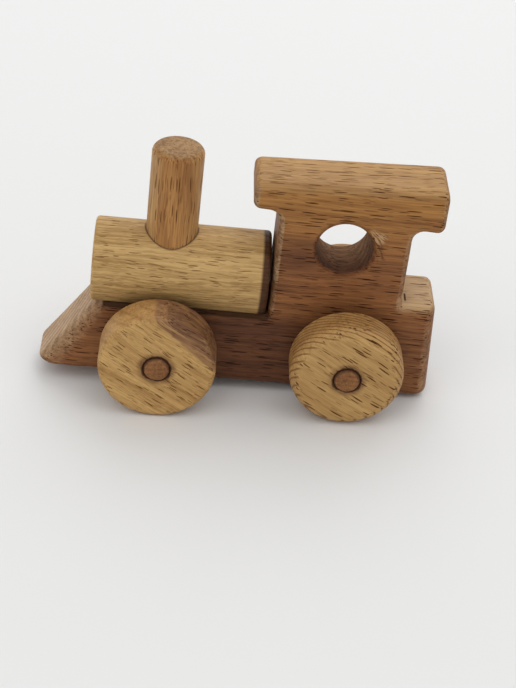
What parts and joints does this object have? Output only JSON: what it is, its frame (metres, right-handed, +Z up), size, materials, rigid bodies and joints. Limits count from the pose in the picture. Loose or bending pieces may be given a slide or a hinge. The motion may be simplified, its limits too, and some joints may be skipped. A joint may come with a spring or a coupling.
{
  "type": "wooden toy train",
  "caption": "Push-along toy steam engine of sanded oak: a sawn body with cab, roof and window, a dowel boiler and chimney, and wheels glued on turning axles.",
  "frame": {"origin": "on the ground, below the middle of the train's length and width", "axes": "+X points to the nose, +Y to the train's left side, +Z up"},
  "size_m": [0.14, 0.0636, 0.0912],
  "materials": {
    "body_wood": "sanded and oiled",
    "boiler_wood": "sanded and oiled",
    "chimney_wood": "sanded and oiled",
    "wheel_wood": "sanded and oiled",
    "axle_wood": "sanded and oiled"
  },
  "bodies": {
    "train": {"body": "body_wood", "boiler": "boiler_wood", "chimney": "chimney_wood", "front_boiler_peg": "axle_wood", "rear_boiler_peg": "axle_wood"},
    "front_wheelset": {"front_axle": "axle_wood", "front_left_wheel": "wheel_wood", "front_right_wheel": "wheel_wood"},
    "rear_wheelset": {"rear_axle": "axle_wood", "rear_left_wheel": "wheel_wood", "rear_right_wheel": "wheel_wood"}
  },
  "joints": [
    {"name": "front_wheelset_spin", "type": "hinge", "parent": "train", "child": "front_wheelset", "pos_m": [0.02718, 0, 0.0205], "axis": [0, 1, 0], "continuous": true},
    {"name": "rear_wheelset_spin", "type": "hinge", "parent": "train", "child": "rear_wheelset", "pos_m": [-0.03884, 0, 0.02], "axis": [0, 1, 0], "continuous": true}
  ]
}
